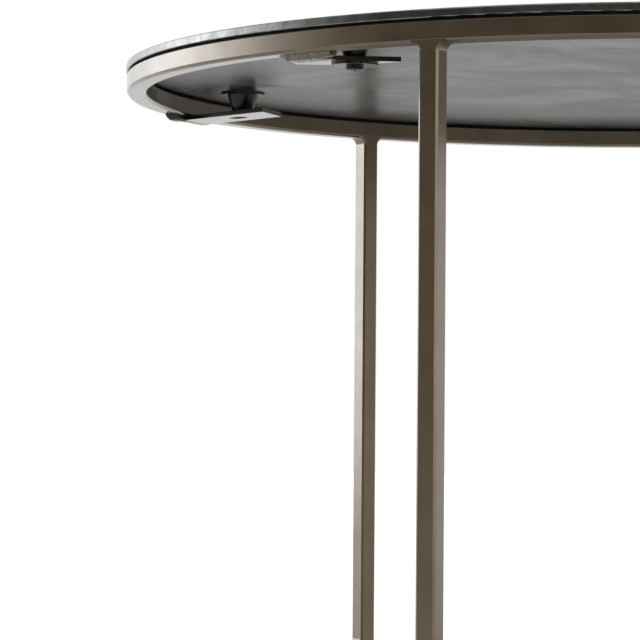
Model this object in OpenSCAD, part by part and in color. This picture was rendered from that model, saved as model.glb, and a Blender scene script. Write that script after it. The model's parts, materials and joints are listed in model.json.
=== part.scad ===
// Round coffee table: a thin stone top on a welded frame of square bar.
// Four straps under the top ring carry the stone on tapered bosses.
// Millimetres, Z up. The origin is on the floor, under the middle of the table.
// The first leg stands on the -Y side. Seen from above, the others follow clockwise.

/* [Table] */
// Height of the table, from the floor to the top of the stone
table_h = 432; // [300:1:760]
// Outer diameter of both rings of the frame
frame_d = 723; // [500:1:1200]

/* [Stone top] */
// How far the stone stands out past the frame
stone_lip = 0.5; // [0:0.1:20]
// Thickness of the stone
stone_t = 5.5; // [4:0.5:30]
// Radius of the eased rim of the stone
stone_ease = 0.9; // [0.2:0.1:1.5]
// Shadow gap between the stone and the top ring
shadow_gap = 1.7; // [0.5:0.1:6]

/* [Frame bars] */
// Width of the ring bars and of the legs, measured along the radius
bar_w = 14; // [12:0.5:25]
// Height of the ring bars
ring_h = 12.7; // [10:0.1:25]
// Width of a leg, seen from outside the table
leg_w = 12.7; // [9:0.1:25]
// Width of the bevel along the edges of the rings
ring_bevel = 1.8; // [0.4:0.1:2]
// Width of the bevel along the edges of the legs
leg_bevel = 1.3; // [0.4:0.1:1.6]
// Radius of the blended corner between a leg and a ring
leg_fillet = 5; // [2:0.5:12]
// Gap of the ground seam between a leg and a ring
seam_gap = 0.02; // [0.01:0.01:0.1]

/* [Straps] */
// Thickness of the flat straps
strap_t = 3; // [2:0.1:6]
// Width of the long straps
long_strap_w = 32; // [28:1:40]
// Place of the first long strap, as an angle round the ring
long_strap_angle = 186.9; // [175:0.1:200]
// Lean of a long strap away from the radius
long_strap_lean = 28.5; // [0:0.5:35]
// Distance from the outside of the ring to the slot of a long strap
long_slot_inset = 54.5; // [45:0.5:80]
// Distance from the slot of a long strap to its free end
long_strap_reach = 33; // [22:0.5:60]
// Distance from the outside of the ring to the welded end of a long strap
long_root_inset = 6; // [4:0.5:10]
// Width of the short straps, which have an elbow
short_strap_w = 25; // [22:1:30]
// Place of the first short strap, as an angle round the ring
short_strap_angle = 256.3; // [240:0.1:260]
// Lean of a short strap's arm away from the radius
short_arm_lean = 43.5; // [35:0.5:50]
// Lean of a short strap's root to the other side of the radius
short_root_lean = 27.5; // [0:0.5:35]
// Distance from the slot of a short strap to its elbow, between the arm and the root
short_elbow = 26; // [22:0.5:30]
// Distance from the outside of the ring to the slot of a short strap
short_slot_inset = 45; // [42:0.5:55]
// Distance from the slot of a short strap to its free end
short_strap_reach = 11; // [10:0.5:40]
// Distance from the outside of the ring to the welded end of a short strap
short_root_inset = 10; // [4:0.5:10]
// Width of the adjusting slot in each strap
slot_w = 9; // [7:0.1:10]
// Length of the adjusting slot in each strap
slot_len = 16; // [11:0.5:18]
// Radius of the weld beads at the straps' roots
weld_r = 2.4; // [1.5:0.1:2.6]
// How far a weld bead runs past the corners of its strap
weld_run = 4; // [0:0.5:8]

/* [Bosses and screws] */
// Diameter of a boss where it stands on its strap
boss_foot_d = 14; // [13:0.1:18]
// Diameter of a boss where it meets its flange
boss_neck_d = 22.5; // [19:0.1:26]
// Diameter of the flange bonded to the stone
boss_flange_d = 31.5; // [27:0.5:40]
// Thickness of the boss flange
boss_flange_t = 1.4; // [1:0.1:2]
// How far the boss on the empty slot stands off the slot's middle, towards the free end
loose_boss_shift = 5; // [0:0.5:5]
// Diameter of the brass insert in a boss
insert_d = 9; // [8:0.1:10]
// Length of the brass insert
insert_len = 9; // [6:0.5:10]
// Gap round an insert in its boss
insert_gap = 0.05; // [0.02:0.01:0.2]
// Diameter of the screw shanks
screw_d = 6; // [5:0.1:6.2]
// Gap round a screw shank in its insert
screw_gap = 0.05; // [0.02:0.01:0.2]
// Room left between a screw's tip and the blind end of its insert
screw_end_gap = 1.3; // [0.5:0.1:3]
// Diameter of a screw head
head_d = 11; // [10:0.1:14]
// Height of a screw head
head_h = 2.8; // [2.4:0.1:4]
// Radius of the rounded edge of a screw head
head_round = 1.1; // [0.3:0.1:1.4]
// Width of the cross recess in a screw head
recess_w = 1.2; // [0.8:0.1:2]
// Span of the cross recess in a screw head
recess_span = 5.4; // [4:0.1:7]
// Depth of the cross recess in a screw head
recess_depth = 1.4; // [0.5:0.1:1.8]
// Diameter of the wide washers
washer_d = 29; // [20:0.5:31]
// Thickness of the wide washers
washer_t = 1.6; // [1:0.1:3]
// Diameter of the hole in a washer
washer_bore = 6.6; // [6.4:0.1:7.5]

/* [Glides] */
// Diameter of the foot of a glide
glide_d = 10; // [7:0.5:10]
// Height of a glide's foot, which lifts the base ring off the floor
glide_h = 3; // [2:0.5:10]
// Radius of the rounded edge of a glide
glide_round = 0.8; // [0.3:0.1:1.2]
// Diameter of the stem that holds a glide in the ring
glide_stem_d = 5; // [3:0.1:6]
// Length of a glide's stem
glide_stem_len = 7; // [4:0.5:9]
// Gap round a glide's stem in its hole
glide_gap = 0.1; // [0.05:0.05:0.3]

/* [Hidden] */
$fn = 96;
leg_count = 3;
glide_count = 6;
strap_count = 4;
first_angle = 270;

frame_r = frame_d / 2;
frame_in_r = frame_r - bar_w;
stone_r = frame_r + stone_lip;
stone_z = table_h - stone_t;
base_ring_z = glide_h;
leg_foot_z = base_ring_z + ring_h;
top_ring_z = stone_z - shadow_gap - ring_h;
strap_z = top_ring_z - strap_t;
head_z = strap_z - washer_t;
boss_h = stone_z - top_ring_z;
screw_len = washer_t + strap_t + insert_len - screw_end_gap;
// Spare depth that lets a cutting solid run past the face it cuts
over = 0.6;

// Straps 1 and 3 are the long ones, opposite each other. They are straight.
// Straps 2 and 4 are short, and turn at an elbow between the slot and the ring.
// The slot of strap 1 is empty: its screw and washer are missing.
SCREWED_STRAPS = [2, 3, 4];

function is_long(i) = i % 2 == 1;
function strap_angle(i) = (is_long(i) ? long_strap_angle : short_strap_angle) + (i > 2 ? 180 : 0);
function strap_w(i) = is_long(i) ? long_strap_w : short_strap_w;
function strap_reach(i) = is_long(i) ? long_strap_reach : short_strap_reach;
function slot_r(i) = frame_r - (is_long(i) ? long_slot_inset : short_slot_inset);
function root_r(i) = frame_r - (is_long(i) ? long_root_inset : short_root_inset);
function arm_angle(i) = is_long(i) ? -long_strap_lean : -short_arm_lean;
function root_angle(i) = is_long(i) ? -long_strap_lean : short_root_lean;
function ray(angle) = [cos(angle), sin(angle)];

// The points of a strap are given with X along the radius through its slot, from the table's axis.
function slot_point(i) = [slot_r(i), 0];
function elbow_point(i) = slot_point(i) + (is_long(i) ? 0 : short_elbow) * ray(arm_angle(i));

// Point half a width to one side of a middle point of a strap, which runs there at the given angle
function side_point(i, middle, angle, side) = middle + side * strap_w(i) / 2 * ray(angle + 90);

// Corner at the free end, which is cut square to the radius
function tip_corner(i, side) =
    let (
        start = side_point(i, slot_point(i), arm_angle(i), side),
        arm = ray(arm_angle(i))
    )
    start + arm * (slot_r(i) - strap_reach(i) - start.x) / arm.x;

// Corner of the elbow, where a side of the arm meets the same side of the root
function elbow_corner(i, side) =
    let (
        start = side_point(i, slot_point(i), arm_angle(i), side),
        finish = side_point(i, elbow_point(i), root_angle(i), side),
        arm = ray(arm_angle(i)),
        root = ray(root_angle(i))
    )
    start + arm * cross(finish - start, root) / cross(arm, root);

// Corner at the welded end, which follows a circle round the table's axis
function root_corner(i, side) =
    let (
        start = side_point(i, elbow_point(i), root_angle(i), side),
        root = ray(root_angle(i)),
        forward = root * start,
        travel = -forward + sqrt(forward * forward - start * start + root_r(i) * root_r(i))
    )
    start + travel * root;

function root_corner_angle(i, side) = atan2(root_corner(i, side).y, root_corner(i, side).x);

// Profile of a ring bar, from its lower left corner: a rectangle whose corners are cut off
module bevelled_bar(width, height) {
    polygon([
        [ring_bevel, 0], [width - ring_bevel, 0], [width, ring_bevel], [width, height - ring_bevel],
        [width - ring_bevel, height], [ring_bevel, height], [0, height - ring_bevel], [0, ring_bevel]
    ]);
}

// Disc whose upper and lower rims are rounded
module eased_disc(radius, thickness, ease) {
    rotate_extrude() {
        square([radius - ease, thickness]);
        translate([0, ease]) square([radius, thickness - 2 * ease]);
        for (y = [ease, thickness - ease])
            translate([radius - ease, y]) circle(ease);
    }
}

// Disc whose lower rim is rounded
module domed_disc(radius, thickness, ease) {
    rotate_extrude() {
        square([radius - ease, thickness]);
        translate([0, ease]) square([radius, thickness - ease]);
        translate([radius - ease, ease]) circle(ease);
    }
}

module bar_ring(z, grow) {
    translate([0, 0, z])
        rotate_extrude()
            translate([frame_in_r - grow, -grow])
                bevelled_bar(bar_w + 2 * grow, ring_h + 2 * grow);
}

// Space between the outside and the inside of the rings, over the whole height
module bar_zone() {
    difference() {
        cylinder(r = frame_r, h = table_h);
        translate([0, 0, -over]) cylinder(r = frame_in_r, h = table_h + 2 * over);
    }
}

// Straight part of a leg: a bar whose long edges are bevelled
module leg_bar(low, high) {
    half = leg_w / 2;
    edge = half - leg_bevel - over;
    translate([frame_in_r, 0, low])
        linear_extrude(high - low)
            polygon([
                [-over, edge], [leg_bevel, half], [bar_w - leg_bevel, half], [bar_w + over, edge],
                [bar_w + over, -edge], [bar_w - leg_bevel, -half], [leg_bevel, -half], [-over, -edge]
            ]);
}

// Round cutter with flared ends, which hollows the corner between a leg and a ring
module corner_cutter() {
    flare = leg_fillet + leg_bevel + over;
    rotate([0, 90, 0])
        rotate_extrude()
            polygon([
                [0, -over], [flare, -over], [leg_fillet, leg_bevel], [leg_fillet, bar_w - leg_bevel],
                [flare, bar_w + over], [0, bar_w + over]
            ]);
}

// Weld metal in the corner beside a leg, under a ring whose lower face is at z = 0
module leg_corner() {
    inner = leg_w / 2 - leg_bevel - over;
    difference() {
        translate([frame_in_r - over, inner, -leg_fillet])
            cube([bar_w + 2 * over, leg_w / 2 + leg_fillet - inner, leg_fillet + ring_bevel]);
        translate([frame_in_r, leg_w / 2 + leg_fillet, -leg_fillet]) corner_cutter();
    }
}

// A leg: its ends are fitted round the bevels of both rings and blended into them
module leg() {
    color([0.30, 0.26, 0.21])
        difference() {
            intersection() {
                union() {
                    leg_bar(leg_foot_z - ring_bevel, top_ring_z + ring_bevel);
                    for (side = [0, 1]) mirror([0, side, 0]) {
                        translate([0, 0, top_ring_z]) leg_corner();
                        translate([0, 0, leg_foot_z]) mirror([0, 0, 1]) leg_corner();
                    }
                }
                bar_zone();
            }
            bar_ring(base_ring_z, seam_gap);
            bar_ring(top_ring_z, seam_gap);
        }
}

module place_leg(i) {
    rotate(first_angle - (i - 1) * 360 / leg_count) leg();
}

// Frame of reference of a slot: origin in its middle, X along the arm of the strap
module at_slot(i) {
    rotate(strap_angle(i)) translate([slot_r(i), 0, 0]) rotate(arm_angle(i)) children();
}

module slot(length, width, depth) {
    half = (length - width) / 2;
    linear_extrude(depth) {
        square([2 * half, width], center = true);
        for (x = [-half, half]) translate([x, 0]) circle(d = width);
    }
}

// Outline of a strap, run out past its welded end
module strap_outline(i) {
    run_out = 2 * over * ray(root_angle(i));
    sides = [
        for (side = [1, -1]) concat(
            [tip_corner(i, side)],
            is_long(i) ? [] : [elbow_corner(i, side)],
            [root_corner(i, side) + run_out]
        )
    ];
    polygon(concat(sides[0], [for (k = [len(sides[1]) - 1 : -1 : 0]) sides[1][k]]));
}

module strap(i) {
    color([0.62, 0.60, 0.57])
        translate([0, 0, strap_z])
            difference() {
                intersection() {
                    rotate(strap_angle(i)) linear_extrude(strap_t) strap_outline(i);
                    translate([0, 0, -over]) cylinder(r = root_r(i), h = strap_t + 2 * over);
                }
                at_slot(i) translate([0, 0, -over]) slot(slot_len, slot_w, strap_t + 2 * over);
            }
}

// Weld bead in the corner between the end of a strap and the underside of the ring.
// Its face is a quarter circle in three flats.
module strap_weld(i) {
    run_angle = weld_run / root_r(i) * 180 / PI;
    low = root_corner_angle(i, -1) - run_angle;
    high = root_corner_angle(i, 1) + run_angle;
    face = [for (turn = [0 : 30 : 90]) weld_r * [cos(turn), -sin(turn)]];
    translate([0, 0, top_ring_z])
        rotate(strap_angle(i) + low)
            rotate_extrude(angle = high - low)
                translate([root_r(i), 0]) polygon(concat([[0, 0]], face));
}

// Frame of reference of a boss and its screw, on the upper face of strap i
module at_boss(i) {
    shift = i == 1 ? loose_boss_shift : 0;
    at_slot(i) translate([-shift, 0, top_ring_z]) children();
}

module boss() {
    color([0.07, 0.07, 0.07])
        difference() {
            rotate_extrude()
                polygon([
                    [0, 0], [boss_foot_d / 2, 0], [boss_neck_d / 2, boss_h - boss_flange_t],
                    [boss_flange_d / 2, boss_h - boss_flange_t], [boss_flange_d / 2, boss_h], [0, boss_h]
                ]);
            translate([0, 0, -over]) cylinder(d = insert_d + 2 * insert_gap, h = insert_len + over);
        }
}

module boss_insert() {
    difference() {
        cylinder(d = insert_d, h = insert_len);
        translate([0, 0, -over]) cylinder(d = screw_d + 2 * screw_gap, h = insert_len + 2 * over);
    }
}

module washer() {
    difference() {
        cylinder(d = washer_d, h = washer_t);
        translate([0, 0, -over]) cylinder(d = washer_bore, h = washer_t + 2 * over);
    }
}

// Screw that points up, with the underside of its head at z = 0
module screw() {
    cylinder(d = screw_d, h = screw_len);
    difference() {
        translate([0, 0, -head_h]) domed_disc(head_d / 2, head_h, head_round);
        for (turn = [0, 90])
            rotate(turn)
                translate([-recess_span / 2, -recess_w / 2, -head_h - over])
                    cube([recess_span, recess_w, recess_depth + over]);
    }
}

module place_glide(i) {
    rotate(first_angle + (i - 1) * 360 / glide_count) translate([frame_r - bar_w / 2, 0, 0]) children();
}

module glide(i) {
    color([0.10, 0.10, 0.10])
        place_glide(i) {
            domed_disc(glide_d / 2, glide_h, glide_round);
            cylinder(d = glide_stem_d, h = glide_h + glide_stem_len);
        }
}

module table_top() {
    color([0.42, 0.42, 0.43])
        translate([0, 0, stone_z]) eased_disc(stone_r, stone_t, stone_ease);
}

module top_ring() {
    color([0.34, 0.29, 0.23]) bar_ring(top_ring_z, 0);
}

module base_ring() {
    color([0.34, 0.29, 0.23])
        difference() {
            bar_ring(base_ring_z, 0);
            for (i = [1 : glide_count])
                place_glide(i)
                    cylinder(d = glide_stem_d + 2 * glide_gap, h = glide_h + glide_stem_len);
        }
}

module strap_welds() {
    color([0.50, 0.46, 0.40])
        for (i = [1 : strap_count]) strap_weld(i);
}

module boss_inserts() {
    color([0.70, 0.55, 0.28])
        for (i = [1 : strap_count]) at_boss(i) boss_insert();
}

module washers() {
    color([0.66, 0.66, 0.66])
        for (i = SCREWED_STRAPS)
            at_boss(i) translate([0, 0, head_z - top_ring_z]) washer();
}

module screws() {
    color([0.20, 0.20, 0.20])
        for (i = SCREWED_STRAPS)
            at_boss(i) translate([0, 0, head_z - top_ring_z]) screw();
}

table_top();
top_ring();
base_ring();
place_leg(1);  // leg_1
place_leg(2);  // leg_2
place_leg(3);  // leg_3
strap(1);  // strap_1
strap(2);  // strap_2
strap(3);  // strap_3
strap(4);  // strap_4
strap_welds();
at_boss(1) boss();  // boss_1
at_boss(2) boss();  // boss_2
at_boss(3) boss();  // boss_3
at_boss(4) boss();  // boss_4
boss_inserts();
washers();
screws();
glide(1);  // glide_1
glide(2);  // glide_2
glide(3);  // glide_3
glide(4);  // glide_4
glide(5);  // glide_5
glide(6);  // glide_6
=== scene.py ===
"""Looks of the round coffee table: camera, studio, materials, weld beads, upper ring and gap strip."""

import json
import math

import bpy
from mathutils import Matrix, Vector, noise


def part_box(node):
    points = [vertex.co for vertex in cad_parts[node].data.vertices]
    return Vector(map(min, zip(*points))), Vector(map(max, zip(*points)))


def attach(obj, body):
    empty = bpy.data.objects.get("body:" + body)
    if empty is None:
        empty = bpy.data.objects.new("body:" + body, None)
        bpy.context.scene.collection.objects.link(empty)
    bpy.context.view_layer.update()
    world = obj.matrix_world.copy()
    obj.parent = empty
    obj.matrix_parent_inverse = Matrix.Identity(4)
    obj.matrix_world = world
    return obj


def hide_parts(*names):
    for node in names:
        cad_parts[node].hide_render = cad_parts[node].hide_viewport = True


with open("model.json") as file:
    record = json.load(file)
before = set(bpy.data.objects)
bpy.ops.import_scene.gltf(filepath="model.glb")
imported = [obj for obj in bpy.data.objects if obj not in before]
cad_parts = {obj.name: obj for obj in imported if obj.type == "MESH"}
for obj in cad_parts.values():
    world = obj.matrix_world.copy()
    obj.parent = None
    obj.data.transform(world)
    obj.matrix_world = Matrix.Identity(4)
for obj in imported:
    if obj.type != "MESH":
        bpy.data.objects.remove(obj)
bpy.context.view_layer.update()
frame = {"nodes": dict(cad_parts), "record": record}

MM = 0.001

# Camera, fitted to the photograph
CAMERA_SPOT = (0.77746, -2.00827, 0.18682)
CAMERA_RIGHT = (0.88928, 0.45730, 0.00767)
CAMERA_UP = (0.00866, -0.03360, 0.99940)
CAMERA_AHEAD = (-0.45729, 0.88868, 0.03384)
LENS_MM = 174.977
SENSOR_MM = 36.0
CAMERA_CLIP = (0.05, 60.0)

# Studio: a bright soft box on the left, a smaller one on the right, a white backdrop and a dim room
FRONT_LIGHT = 0.10
BACK_LIGHT = 0.92
BACK_AXIS = (0.12, 0.99, 0.0)
BACK_FADE = (-0.42, 0.55)
LEFT_LIGHT = 3.9
LEFT_AXIS = (-0.9985, -0.02, 0.03)
LEFT_POWER = 10.0
LEFT_TINT = (0.955, 1.0, 1.075)
RIGHT_LIGHT = 2.0
RIGHT_AXIS = (0.90, -0.435, 0.03)
RIGHT_POWER = 20.0
TOP_LIGHT = 0.9
TOP_FADE = (0.2, 0.95)
FLOOR_HALF = 9.0
FLOOR_COLOR = (0.605, 0.605, 0.595)
FLOOR_SHADE = (0.590, 0.590, 0.582)
FLOOR_GLOW = 0.66
FLOOR_GLOSS_GLOW = 0.30

# Stone: from this radius on, its eased rim is polished and shines like metal, through a lighter, metal-like
# colour that is a painted sheen
STONE_RIM = (0.3608, 0.3612)
STONE_RIM_POLISH = 0.14
STONE_RIM_METALLIC = 0.92

# Bronze lacquer of the frame; the legs are a little lighter, and the straps much darker
BRONZE_DARK = (0.120, 0.085, 0.045)
BRONZE_LIGHT = (0.160, 0.117, 0.064)
BRONZE_WORN = (0.290, 0.230, 0.150)
BRONZE_METALLIC = 0.82
LEG_TONE = 1.15
STRAP_TONE = 0.25
FRAME_COAT_ROUGH = 0.16
STRAP_COAT_ROUGH = 0.12

# Grinding lines: the smaller the factor, the further they are drawn out along that axis
RING_GRIND = (0.12, 0.12, 1.0)
LEG_GRIND = (1.0, 1.0, 0.04)
STRAP_GRIND = (1.0, 0.15, 1.0)

# Side of the table where the faces that look down lose the clear coat and get rougher and greyer: painted
# shade, which stands in for their dim reflection
DULL_SHADE_AXIS = (0.5, -0.866, 0.0)
DULL_SHADE_FROM = (0.245, 0.290)
DULL_ROUGH = 0.32
DULL_SHADE_COLOR = (0.105, 0.088, 0.070)
RING_DULL_NORMALS = (-0.97, -0.85)
LEG_DULL_NORMALS = (-0.75, -0.10)

# Roughness of the plastic pieces, and of the dull strip in the gap
PLASTIC_ROUGH = (0.26, 0.36)
SEAL_SHADE_ROUGH = (0.68, 0.78)

# Top ring: lower edges as the legs are fitted to them, upper edges nearly sharp
RING_BAR_W = 14.0 * MM
RING_LOW_BEVEL = 1.8 * MM
RING_HIGH_BEVEL = 0.4 * MM
RING_EDGE_RUN = 0.25 * MM
RING_SIDES = 720

# Black seal strip that closes the shadow gap, between the upper face of the ring and the stone; it is partly
# painted shade, put there so that the gap stays dark all round
SEAL_SHADE_RADII = (0.3508, 0.3582)
SEAL_SHADE_EASE = 0.25 * MM
SEAL_SHADE_SIDES = 240

# Weld beads: mounds under the ring that run over the welded ends of the straps and past their corners
BEAD_STEP = 0.4 * MM
BEAD_ROWS = 30
BEAD_ROW_POINTS = 2 * (BEAD_ROWS + 1)
BEAD_SINK = 0.1 * MM
BEAD_THINNEST = 0.01 * MM
BEAD_TRIM = 4.0 * MM
BEAD_END_LAP = 1.5 * MM
BEAD_COVER_FROM = 0.3 * MM
BEAD_GAP_ANGLE = 0.2
BEAD_SIDE_SHARE = 0.75
BEAD_ROOT_SHARE = 0.5
BEAD_SWELL_SHARE = 0.3

# The two kinds of bead, in millimetres, told apart by the radius at which they start
LONG_BEAD_FROM = 0.3535
LONG_BEAD = {
    "out": 4.2, "inward": 5.0, "cover": 0.2, "low_run": 7.0,
    "high_run": 20.0, "high_cap": 5.0, "swell": 1.3, "lump": 0.25,
}
SHORT_BEAD = {
    "out": 3.0, "inward": 13.0, "cover": 0.7, "low_run": 7.5,
    "high_run": 9.0, "high_cap": 5.0, "swell": 0.0, "lump": 0.6,
}

# Lumps of a bead: ripples and a finer grain, which die out at its start and edges and are faint at its end
RIPPLE_ALONG = 2.2 * MM
RIPPLE_ACROSS = 9.0 * MM
RIPPLE_SHIFT = 40.0
GRAIN_SCALE = 700.0
GRAIN_SHARE = 0.35
CALM_LEAD = 1.0 * MM
CALM_RUN = 3.0 * MM
CALM_FAR_END = 0.2
CALM_ROWS = (4.0, 6.0)
CALM_DEPTH = 1.2 * MM


class Graph:
    """The nodes of one material or world, with short calls that add and join them."""

    def __init__(self, tree, place="Object"):
        self.tree = tree
        self.place = self.add("ShaderNodeTexCoord").outputs[place]

    def add(self, kind, **settings):
        node = self.tree.nodes.new(kind)
        for key, value in settings.items():
            setattr(node, key, value)
        return node

    def feed(self, socket, value):
        if isinstance(value, bpy.types.NodeSocket):
            self.tree.links.new(value, socket)
        elif isinstance(value, tuple) and socket.type == "RGBA":
            socket.default_value = (*value, 1.0)
        else:
            socket.default_value = value

    def math(self, operation, first, second=0.0):
        node = self.add("ShaderNodeMath", operation=operation)
        self.feed(node.inputs[0], first)
        self.feed(node.inputs[1], second)
        return node.outputs[0]

    def fade(self, value, limits, results=(0.0, 1.0)):
        node = self.add("ShaderNodeMapRange", interpolation_type="SMOOTHSTEP")
        self.feed(node.inputs["Value"], value)
        self.feed(node.inputs["From Min"], limits[0])
        self.feed(node.inputs["From Max"], limits[1])
        self.feed(node.inputs["To Min"], results[0])
        self.feed(node.inputs["To Max"], results[1])
        return node.outputs["Result"]

    def toward(self, axis):
        node = self.add("ShaderNodeVectorMath", operation="DOT_PRODUCT")
        self.feed(node.inputs[0], self.place)
        self.feed(node.inputs[1], axis)
        return node.outputs["Value"]

    def lobe(self, axis, power, strength):
        facing = self.math("MAXIMUM", self.toward(axis), 0.0)
        return self.math("MULTIPLY", self.math("POWER", facing, power), strength)

    def radius(self):
        flat = self.stretched((1.0, 1.0, 0.0))
        node = self.add("ShaderNodeVectorMath", operation="LENGTH")
        self.feed(node.inputs[0], flat)
        return node.outputs["Value"]

    def background(self, color, strength):
        node = self.add("ShaderNodeBackground")
        self.feed(node.inputs["Color"], color)
        self.feed(node.inputs["Strength"], strength)
        return node.outputs[0]

    def facing_down(self, limits):
        """1 on faces that look down, 0 on the rest, between two limits of the normal's upward part."""
        node = self.add("ShaderNodeSeparateXYZ")
        self.feed(node.inputs[0], self.add("ShaderNodeNewGeometry").outputs["Normal"])
        return self.math("SUBTRACT", 1.0, self.fade(node.outputs["Z"], limits))

    def stretched(self, factors):
        node = self.add("ShaderNodeVectorMath", operation="MULTIPLY")
        self.feed(node.inputs[0], self.place)
        self.feed(node.inputs[1], factors)
        return node.outputs["Vector"]

    def noise(self, scale, detail=4.0, rough=0.5, warp=0.0, place=None):
        node = self.add("ShaderNodeTexNoise")
        self.feed(node.inputs["Vector"], place or self.place)
        self.feed(node.inputs["Scale"], scale)
        self.feed(node.inputs["Detail"], detail)
        self.feed(node.inputs["Roughness"], rough)
        self.feed(node.inputs["Distortion"], warp)
        return node.outputs["Fac"]

    def threads(self, scale, detail, rough, warp):
        """Distance of a noise from its middle value, which is 0 along thin winding lines."""
        return self.math("ABSOLUTE", self.math("SUBTRACT", self.noise(scale, detail, rough, warp), 0.5))

    def light_path(self):
        """The light path node, and 1 for rays from the camera or through clear pieces, 0 for the rest."""
        path = self.add("ShaderNodeLightPath")
        seen = self.math("MAXIMUM", path.outputs["Is Camera Ray"], path.outputs["Is Transmission Ray"])
        return path, seen

    def ramp(self, value, stops):
        node = self.add("ShaderNodeValToRGB")
        ramp = node.color_ramp
        while len(ramp.elements) < len(stops):
            ramp.elements.new(0.5)
        for element, (position, color) in zip(ramp.elements, stops):
            element.position = position
            element.color = (*color, 1.0)
        self.feed(node.inputs["Fac"], value)
        return node.outputs["Color"]

    def mix(self, factor, first, second, blend="MIX"):
        node = self.add("ShaderNodeMix", data_type="RGBA", blend_type=blend)
        self.feed(node.inputs["Factor"], factor)
        self.feed(node.inputs[6], first)
        self.feed(node.inputs[7], second)
        return node.outputs[2]

    def bump(self, height, depth, strength=1.0, below=None):
        node = self.add("ShaderNodeBump")
        self.feed(node.inputs["Strength"], strength)
        self.feed(node.inputs["Distance"], depth)
        self.feed(node.inputs["Height"], height)
        if below is not None:
            self.feed(node.inputs["Normal"], below)
        return node.outputs["Normal"]


def new_material(name, **constants):
    """A material with one principled shader, whose constants are set on its own sockets."""
    material = bpy.data.materials.new(name)
    material.use_nodes = True
    shader = material.node_tree.nodes["Principled BSDF"]
    for key, value in constants.items():
        socket = shader.inputs[key.replace("_", " ").title().replace("Ior", "IOR")]
        socket.default_value = (*value, 1.0) if isinstance(value, tuple) else value
    return material, Graph(material.node_tree), shader


def finish_material(graph, shader, color, rough, normal, metallic):
    graph.feed(shader.inputs["Base Color"], color)
    graph.feed(shader.inputs["Roughness"], rough)
    graph.feed(shader.inputs["Metallic"], metallic)
    graph.feed(shader.inputs["Normal"], normal)
    graph.feed(shader.inputs["Coat Normal"], normal)


def stone_color(graph, clouds, grain):
    """Dark cloudy grey with tinted patches, broken veins, fine dark threads and pale specks."""
    base = graph.ramp(clouds, [
        (0.30, (0.020, 0.021, 0.021)),
        (0.46, (0.036, 0.039, 0.038)),
        (0.58, (0.050, 0.051, 0.055)),
        (0.72, (0.072, 0.074, 0.074)),
    ])
    tint = graph.ramp(graph.noise(42.0, 5.0, 0.6, 0.5), [
        (0.34, (0.86, 1.00, 0.95)),
        (0.50, (1.00, 1.00, 1.00)),
        (0.66, (1.04, 0.97, 1.09)),
    ])
    base = graph.mix(1.0, base, tint, "MULTIPLY")
    broken = graph.fade(graph.noise(9.0, 4.0, 0.6), (0.50, 0.68))
    veins = graph.fade(graph.threads(6.5, 6.0, 0.65, 0.5), (0.0, 0.030), (0.5, 0.0))
    base = graph.mix(graph.math("MULTIPLY", veins, broken), base, (0.105, 0.105, 0.110))
    threads = graph.fade(graph.threads(24.0, 5.0, 0.65, 0.4), (0.0, 0.016), (0.4, 0.0))
    base = graph.mix(graph.math("MULTIPLY", threads, broken), base, (0.016, 0.016, 0.018))
    specks = graph.fade(grain, (0.66, 0.82), (0.0, 0.25))
    return graph.mix(specks, base, (0.17, 0.17, 0.175))


def stone_rim_painted_sheen(graph):
    """Painted sheen of the polished rim: a lighter mottled colour, with small pale nicks."""
    sheen = graph.ramp(graph.noise(90.0, 5.0, 0.65, 0.6), [
        (0.34, (0.150, 0.147, 0.127)),
        (0.52, (0.205, 0.201, 0.186)),
        (0.70, (0.285, 0.275, 0.252)),
    ])
    nicks = graph.fade(graph.noise(420.0, 5.0, 0.7, 0.8), (0.66, 0.76), (0.0, 0.5))
    return graph.mix(nicks, sheen, (0.42, 0.40, 0.37))


def stone_material():
    material, graph, shader = new_material("stone", ior=1.42)
    clouds = graph.noise(11.0, 6.0, 0.62, 0.8)
    grain = graph.noise(1500.0, 2.0, 0.6)
    # From this radius on the rim gets a lighter, metallic colour: a painted sheen
    rim = graph.fade(graph.radius(), STONE_RIM)
    color = graph.mix(rim, stone_color(graph, clouds, grain), stone_rim_painted_sheen(graph))
    rough = graph.fade(clouds, (0.3, 0.7), (0.26, 0.37))
    rough = graph.math("SUBTRACT", rough, graph.math("MULTIPLY", rim, STONE_RIM_POLISH))
    normal = graph.bump(grain, 0.006 * MM, 0.5)
    normal = graph.bump(graph.noise(60.0, 3.0, 0.5), 0.001 * MM, 0.5, normal)
    metallic = graph.math("MULTIPLY", rim, STONE_RIM_METALLIC)
    finish_material(graph, shader, color, rough, normal, metallic)
    return material


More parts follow.
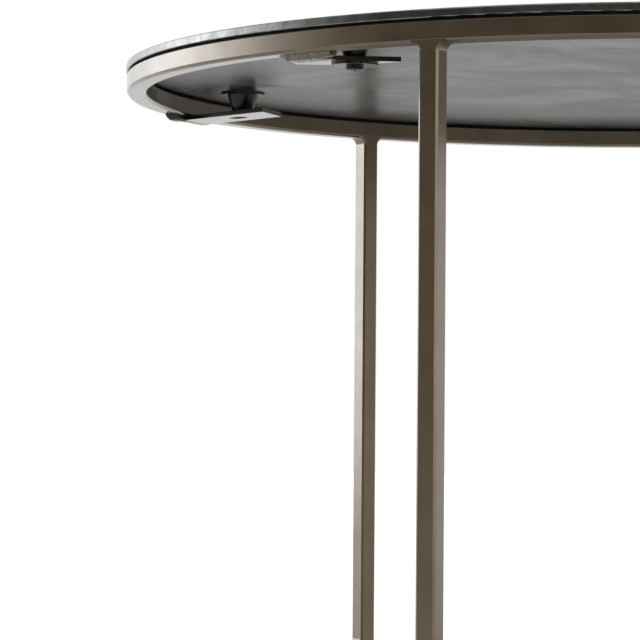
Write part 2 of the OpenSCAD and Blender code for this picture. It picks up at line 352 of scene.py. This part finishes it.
def lacquer_material(name, coat_rough, grind, tone, dull_normals=None):
    """Bronze lacquer over ground steel: fine flake, grinding lines along the bar, and rubbed spots."""
    material, graph, shader = new_material(name, coat_weight=1.0, coat_roughness=coat_rough, coat_ior=1.5)
    drift = graph.noise(14.0, 4.0, 0.6, 0.4)
    flake = graph.noise(2600.0, 1.0, 0.5)
    lines = graph.noise(3200.0, 3.0, 0.6, 0.0, graph.stretched(grind))
    color = graph.ramp(drift, [
        (0.32, tuple(tone * level for level in BRONZE_DARK)),
        (0.68, tuple(tone * level for level in BRONZE_LIGHT)),
    ])
    shine = graph.fade(flake, (0.60, 0.78), (0.0, 0.25))
    color = graph.mix(shine, color, BRONZE_WORN)
    rubbed = graph.fade(graph.noise(120.0, 6.0, 0.7, 0.6), (0.66, 0.80), (0.0, 0.20))
    color = graph.mix(rubbed, color, BRONZE_WORN)
    rough = graph.fade(graph.noise(45.0, 4.0, 0.6), (0.3, 0.7), (0.30, 0.40))
    normal = graph.bump(lines, 0.004 * MM, 0.6)
    normal = graph.bump(graph.noise(700.0, 2.0, 0.5), 0.008 * MM, 0.6, normal)
    normal = graph.bump(graph.noise(90.0, 3.0, 0.5), 0.03 * MM, 0.5, normal)
    # Painted shade: on one side of the table, faces that look down lose the coat and get rougher and greyer
    if dull_normals:
        place = graph.fade(graph.toward(DULL_SHADE_AXIS), DULL_SHADE_FROM)
        dull_shade = graph.math("MULTIPLY", place, graph.facing_down(dull_normals))
        graph.feed(shader.inputs["Coat Weight"], graph.math("SUBTRACT", 1.0, dull_shade))
        rough = graph.math("ADD", rough, graph.math("MULTIPLY", dull_shade, DULL_ROUGH))
        color = graph.mix(dull_shade, color, DULL_SHADE_COLOR)
    finish_material(graph, shader, color, rough, normal, BRONZE_METALLIC)
    return material


def weld_material(name, low, middle, high, coat):
    material, graph, shader = new_material(name, coat_weight=coat, coat_roughness=0.2)
    spatter = graph.noise(900.0, 4.0, 0.65, 0.4)
    scale = graph.noise(260.0, 5.0, 0.7, 0.8)
    color = graph.ramp(scale, [(0.34, low), (0.52, middle), (0.70, high)])
    rough = graph.fade(spatter, (0.3, 0.7), (0.26, 0.46))
    normal = graph.bump(spatter, 0.04 * MM, 0.7)
    normal = graph.bump(scale, 0.10 * MM, 0.7, normal)
    finish_material(graph, shader, color, rough, normal, 0.6)
    return material


def plastic_material(name, low, high, grain_size, rough_range):
    material, graph, shader = new_material(name, ior=1.45)
    cloud = graph.noise(160.0, 4.0, 0.6)
    color = graph.ramp(cloud, [(0.35, low), (0.68, high)])
    rough = graph.fade(cloud, (0.3, 0.7), rough_range)
    normal = graph.bump(graph.noise(grain_size, 2.0, 0.5), 0.008 * MM, 0.6)
    finish_material(graph, shader, color, rough, normal, 0.0)
    return material


def metal_material(name, low, high, rough_range):
    """Bare or plated metal with fine turned lines round the upright axis of the piece."""
    material, graph, shader = new_material(name)
    stain = graph.noise(210.0, 5.0, 0.65, 0.4)
    lines = graph.noise(900.0, 3.0, 0.6, 0.0, graph.stretched((1.0, 1.0, 6.0)))
    color = graph.ramp(stain, [(0.32, low), (0.70, high)])
    rough = graph.fade(graph.noise(420.0, 4.0, 0.6), (0.3, 0.7), rough_range)
    normal = graph.bump(lines, 0.010 * MM, 0.7)
    finish_material(graph, shader, color, rough, normal, 1.0)
    return material


def make_materials():
    return {
        "stone": stone_material(),
        "frame": lacquer_material("ring_lacquer", FRAME_COAT_ROUGH, RING_GRIND, 1.0, RING_DULL_NORMALS),
        "leg": lacquer_material("leg_lacquer", FRAME_COAT_ROUGH, LEG_GRIND, LEG_TONE, LEG_DULL_NORMALS),
        "strap_steel": lacquer_material("strap_lacquer", STRAP_COAT_ROUGH, STRAP_GRIND, STRAP_TONE),
        "weld_metal": weld_material(
            "weld_metal", (0.070, 0.052, 0.036), (0.150, 0.120, 0.088), (0.300, 0.270, 0.225), 0.8),
        # Much darker weld metal, used on the far ends of the long beads
        "weld_dark": weld_material(
            "dark_end_weld_metal", (0.010, 0.009, 0.008), (0.022, 0.019, 0.016), (0.050, 0.044, 0.037), 0.15),
        "black_plastic": plastic_material(
            "black_plastic", (0.006, 0.006, 0.006), (0.012, 0.012, 0.011), 1800.0, PLASTIC_ROUGH),
        "brass": metal_material("brass", (0.50, 0.34, 0.12), (0.72, 0.54, 0.26), (0.22, 0.38)),
        "zinc": metal_material("zinc", (0.035, 0.035, 0.035), (0.085, 0.085, 0.082), (0.22, 0.34)),
        "black_steel": metal_material(
            "black_steel", (0.020, 0.020, 0.020), (0.055, 0.054, 0.052), (0.26, 0.42)),
        "glide_plastic": plastic_material(
            "glide_plastic", (0.012, 0.012, 0.012), (0.026, 0.026, 0.026), 900.0, PLASTIC_ROUGH),
        # Near-black strip in the shadow gap, partly painted shade
        "seal_shade": plastic_material(
            "gap_seal_shade", (0.004, 0.004, 0.004), (0.008, 0.008, 0.008), 1200.0, SEAL_SHADE_ROUGH),
    }


def dress_nodes(materials):
    for entry in frame["record"]["subparts"]:
        node = frame["nodes"][entry["node"]]
        name = "leg" if entry["node"].startswith("leg_") else entry["material_slot"]
        node.data.materials.clear()
        node.data.materials.append(materials[name])


def bead_spans():
    """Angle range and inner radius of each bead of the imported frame, in radians and metres."""
    points = sorted(
        (math.atan2(v.co.y, v.co.x) % math.tau, math.hypot(v.co.x, v.co.y))
        for v in frame["nodes"]["strap_welds"].data.vertices
    )
    groups = [[points[0]]]
    for point in points[1:]:
        if point[0] - groups[-1][-1][0] > BEAD_GAP_ANGLE:
            groups.append([])
        groups[-1].append(point)
    return [(g[0][0], g[-1][0], min(radius for _, radius in g)) for g in groups]


def smooth(value):
    value = min(1.0, max(0.0, value))
    return value * value * (3.0 - 2.0 * value)


def round_off(value):
    """Quarter of a circle: 0 at the edge, 1 from one unit inwards."""
    value = min(1.0, max(0.0, value))
    return math.sqrt(1.0 - (1.0 - value) ** 2)


class Bead:
    """One weld bead, measured along the ring from the near corner of its strap, and across the ring."""

    def __init__(self, span, ring_z, strap_z, flat_in):
        low_angle, high_angle, inner = span
        self.low_angle = low_angle
        self.inner = inner
        self.ring_z = ring_z
        self.strap_z = strap_z
        self.flat_in = flat_in
        self.shape = LONG_BEAD if inner > LONG_BEAD_FROM else SHORT_BEAD
        self.length = (high_angle - low_angle) * inner - 2.0 * BEAD_TRIM
        self.first = -self.shape["low_run"] * MM
        self.last = self.length + self.shape["high_run"] * MM
        self.steps = int((self.last - self.first) / BEAD_STEP)

    def smooth_depth(self, along, radial):
        """Depth below the ring, without lumps."""
        shape = self.shape
        strap_h = self.ring_z - self.strap_z
        out = shape["out"] * MM
        side = round_off((out - radial) / (BEAD_SIDE_SHARE * out))
        if along < 0.0:
            return side * strap_h * smooth(1.0 + along / (shape["low_run"] * MM))
        if along > self.length:
            past = along - self.length
            run = shape["high_run"] * MM
            end = round_off((run - past) / (shape["high_cap"] * MM))
            swell = shape["swell"] * MM * smooth(past / (BEAD_SWELL_SHARE * run))
            return side * end * (strap_h + swell)
        root = BEAD_ROOT_SHARE * shape["inward"] * MM
        fade_in = round_off((radial + shape["inward"] * MM) / root)
        return side * (strap_h + shape["cover"] * MM * fade_in)

    def lump(self, along, radial, row, spot, depth):
        """What the ripples and the grain add to the depth."""
        ridge = noise.noise(Vector((along / RIPPLE_ALONG, radial / RIPPLE_ACROSS, self.inner * RIPPLE_SHIFT)))
        fine = noise.noise(spot * GRAIN_SCALE)
        calm = smooth((along + CALM_LEAD) / CALM_RUN) * (1.0 if along < self.length else CALM_FAR_END)
        near_edge = min(1.0, row / CALM_ROWS[0], (BEAD_ROWS - row) / CALM_ROWS[1])
        edge = near_edge * min(1.0, depth / CALM_DEPTH)
        return calm * edge * self.shape["lump"] * MM * (ridge + GRAIN_SHARE * fine)

    def pair(self, along, angle, radial, row, inside):
        """Lower and upper point at one place. Over the strap the bead starts just inside its lower face."""
        radius = self.inner + radial
        spot = Vector((radius * math.cos(angle), radius * math.sin(angle), 0.0))
        depth = self.smooth_depth(along, radial)
        depth = max(0.0, depth + self.lump(along, radial, row, spot, depth))
        covered = inside and radial < -BEAD_COVER_FROM
        top = self.strap_z + BEAD_SINK if covered else self.ring_z
        low = min(self.ring_z - depth, top - BEAD_THINNEST)
        return (spot.x, spot.y, low), (spot.x, spot.y, top)

    def points(self):
        out, inward = self.shape["out"] * MM, self.shape["inward"] * MM
        verts = []
        for i in range(self.steps + 1):
            along = self.first + (self.last - self.first) * i / self.steps
            angle = self.low_angle + (along + BEAD_TRIM) / self.inner
            inside = 0.0 <= along <= self.length
            for row in range(BEAD_ROWS + 1):
                radial = out - (out + inward) * row / BEAD_ROWS
                if not inside:
                    radial = max(radial, self.flat_in - self.inner)
                verts += self.pair(along, angle, radial, row, inside)
        return verts

    def faces(self, start):
        """Lower and upper skin, the two long sides and the two ends, from the index of the first point."""
        faces = []
        for i in range(self.steps):
            for j in range(BEAD_ROWS):
                a = start + i * BEAD_ROW_POINTS + 2 * j
                b, c, d = a + 2, a + BEAD_ROW_POINTS + 2, a + BEAD_ROW_POINTS
                faces.append((a, b, c, d))
                faces.append((a + 1, d + 1, c + 1, b + 1))
            first = start + i * BEAD_ROW_POINTS
            for a, flip in ((first, False), (first + BEAD_ROW_POINTS - 2, True)):
                quad = (a, a + BEAD_ROW_POINTS, a + BEAD_ROW_POINTS + 1, a + 1)
                faces.append(quad[::-1] if flip else quad)
        for i, flip in ((0, True), (self.steps, False)):
            for j in range(BEAD_ROWS):
                a = start + i * BEAD_ROW_POINTS + 2 * j
                quad = (a, a + 2, a + 3, a + 1)
                faces.append(quad[::-1] if flip else quad)
        return faces

    def far_end(self, start):
        """Index of the first point of the far end, which has a finish of its own."""
        share = (self.length - BEAD_END_LAP - self.first) / (self.last - self.first)
        return start + BEAD_ROW_POINTS * int(share * self.steps)


def make_beads(materials):
    ring_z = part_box("top_ring")[0].z
    strap_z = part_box("strap_1")[0].z
    flat_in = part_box("top_ring")[1].x - RING_BAR_W + RING_LOW_BEVEL
    verts, faces = [], []
    finishes = {}
    for span in bead_spans():
        bead = Bead(span, ring_z, strap_z, flat_in)
        start = len(verts)
        verts += bead.points()
        faces += bead.faces(start)
        finish = 1 if bead.shape is LONG_BEAD else 2
        finishes.update(dict.fromkeys(range(bead.far_end(start), len(verts)), finish))
    beads = new_piece("weld_beads", verts, faces, materials["weld_metal"], "weld_metal")
    beads.data.materials.append(materials["weld_dark"])
    beads.data.materials.append(materials["leg"])
    for polygon in beads.data.polygons:
        polygon.material_index = finishes.get(polygon.vertices[0], 0)
    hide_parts("strap_welds")


def new_piece(name, verts, faces, material, slot):
    mesh = bpy.data.meshes.new(name)
    mesh.from_pydata(verts, [], faces)
    mesh.validate()
    for polygon in mesh.polygons:
        polygon.use_smooth = True
    mesh.materials.append(material)
    piece = bpy.data.objects.new(name, mesh)
    bpy.context.collection.objects.link(piece)
    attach(piece, "root")
    return piece


def lathe(profile, sides):
    """Points and faces of a closed ring, from a profile of radii and heights that runs anticlockwise."""
    count = len(profile)
    verts = [
        (radius * math.cos(math.tau * i / sides), radius * math.sin(math.tau * i / sides), z)
        for i in range(sides) for radius, z in profile
    ]
    faces = []
    for i in range(sides):
        here, there = i * count, (i + 1) % sides * count
        for j in range(count):
            k = (j + 1) % count
            faces.append((here + j, there + j, there + k, here + k))
    return verts, faces


def make_ring(materials):
    low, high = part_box("top_ring")[0].z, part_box("top_ring")[1].z
    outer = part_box("top_ring")[1].x
    inner = outer - RING_BAR_W
    under, over, run = RING_LOW_BEVEL, RING_HIGH_BEVEL, RING_EDGE_RUN
    profile = [
        (inner + under, low), (inner + under + run, low), (outer - under - run, low), (outer - under, low),
        (outer, low + under), (outer, low + under + run), (outer, high - over - run), (outer, high - over),
        (outer - over, high), (outer - over - run, high), (inner + over + run, high), (inner + over, high),
        (inner, high - over), (inner, high - over - run), (inner, low + under + run), (inner, low + under),
    ]
    ring = new_piece("top_ring_bar", *lathe(profile, RING_SIDES), materials["frame"], "frame")
    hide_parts("top_ring")


# Partly painted shade: a near-black strip that keeps the shadow gap dark
def make_seal_shade(materials):
    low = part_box("top_ring")[1].z
    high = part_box("table_top")[0].z
    inner, outer = SEAL_SHADE_RADII
    ease = SEAL_SHADE_EASE
    profile = [
        (inner, low), (outer, low), (outer + ease, low + ease), (outer + ease, high - ease),
        (outer, high), (inner, high), (inner - ease, high - ease), (inner - ease, low + ease),
    ]
    new_piece("gap_seal_shade", *lathe(profile, SEAL_SHADE_SIDES), materials["seal_shade"], "black_plastic")


def make_world():
    world = bpy.data.worlds.new("studio")
    bpy.context.scene.world = world
    world.use_nodes = True
    tree = world.node_tree
    tree.nodes.clear()
    graph = Graph(tree, "Generated")
    back = graph.fade(graph.toward(BACK_AXIS), BACK_FADE, (FRONT_LIGHT, BACK_LIGHT))
    left = graph.lobe(LEFT_AXIS, LEFT_POWER, LEFT_LIGHT)
    right = graph.lobe(RIGHT_AXIS, RIGHT_POWER, RIGHT_LIGHT)
    top = graph.fade(graph.toward((0.0, 0.0, 1.0)), TOP_FADE, (0.0, TOP_LIGHT))
    level = graph.math("ADD", graph.math("MAXIMUM", back, top), right)
    room = graph.background((1.0, 1.0, 1.0), level)
    box = graph.background(LEFT_TINT, left)
    studio = graph.add("ShaderNodeAddShader")
    tree.links.new(room, studio.inputs[0])
    tree.links.new(box, studio.inputs[1])
    white = graph.background((1.0, 1.0, 1.0), 1.0)
    _, seen = graph.light_path()
    mixer = graph.add("ShaderNodeMixShader")
    graph.feed(mixer.inputs[0], seen)
    tree.links.new(studio.outputs[0], mixer.inputs[1])
    tree.links.new(white, mixer.inputs[2])
    output = graph.add("ShaderNodeOutputWorld")
    tree.links.new(mixer.outputs[0], output.inputs["Surface"])


def make_floor():
    half = FLOOR_HALF
    corners = [(-half, -half, 0.0), (half, -half, 0.0), (half, half, 0.0), (-half, half, 0.0)]
    mesh = bpy.data.meshes.new("floor")
    mesh.from_pydata(corners, [], [(0, 1, 2, 3)])
    material, graph, shader = new_material("floor_paper", roughness=0.9, specular_ior_level=0.1)
    paper = graph.noise(5.0, 3.0, 0.5)
    shade = graph.fade(paper, (0.3, 0.7))
    graph.feed(shader.inputs["Base Color"], graph.mix(shade, FLOOR_SHADE, FLOOR_COLOR))
    path, seen = graph.light_path()
    glow = graph.math("MULTIPLY", seen, FLOOR_GLOW)
    gloss = graph.math("MULTIPLY", path.outputs["Is Glossy Ray"], FLOOR_GLOSS_GLOW)
    graph.feed(shader.inputs["Emission Color"], (1.0, 1.0, 1.0))
    graph.feed(shader.inputs["Emission Strength"], graph.math("ADD", glow, gloss))
    mesh.materials.append(material)
    floor = bpy.data.objects.new("floor", mesh)
    bpy.context.collection.objects.link(floor)


def add_camera():
    data = bpy.data.cameras.new("camera")
    data.lens = LENS_MM
    data.sensor_width = SENSOR_MM
    data.clip_start, data.clip_end = CAMERA_CLIP
    camera = bpy.data.objects.new("camera", data)
    bpy.context.collection.objects.link(camera)
    right, up, back = Vector(CAMERA_RIGHT), Vector(CAMERA_UP), -Vector(CAMERA_AHEAD)
    camera.matrix_world = Matrix((
        (right.x, up.x, back.x, CAMERA_SPOT[0]),
        (right.y, up.y, back.y, CAMERA_SPOT[1]),
        (right.z, up.z, back.z, CAMERA_SPOT[2]),
        (0.0, 0.0, 0.0, 1.0),
    ))
    bpy.context.scene.camera = camera


bpy.context.scene.view_settings.view_transform = "Standard"
add_camera()
make_world()
make_floor()
materials = make_materials()
dress_nodes(materials)
make_beads(materials)
make_ring(materials)
make_seal_shade(materials)
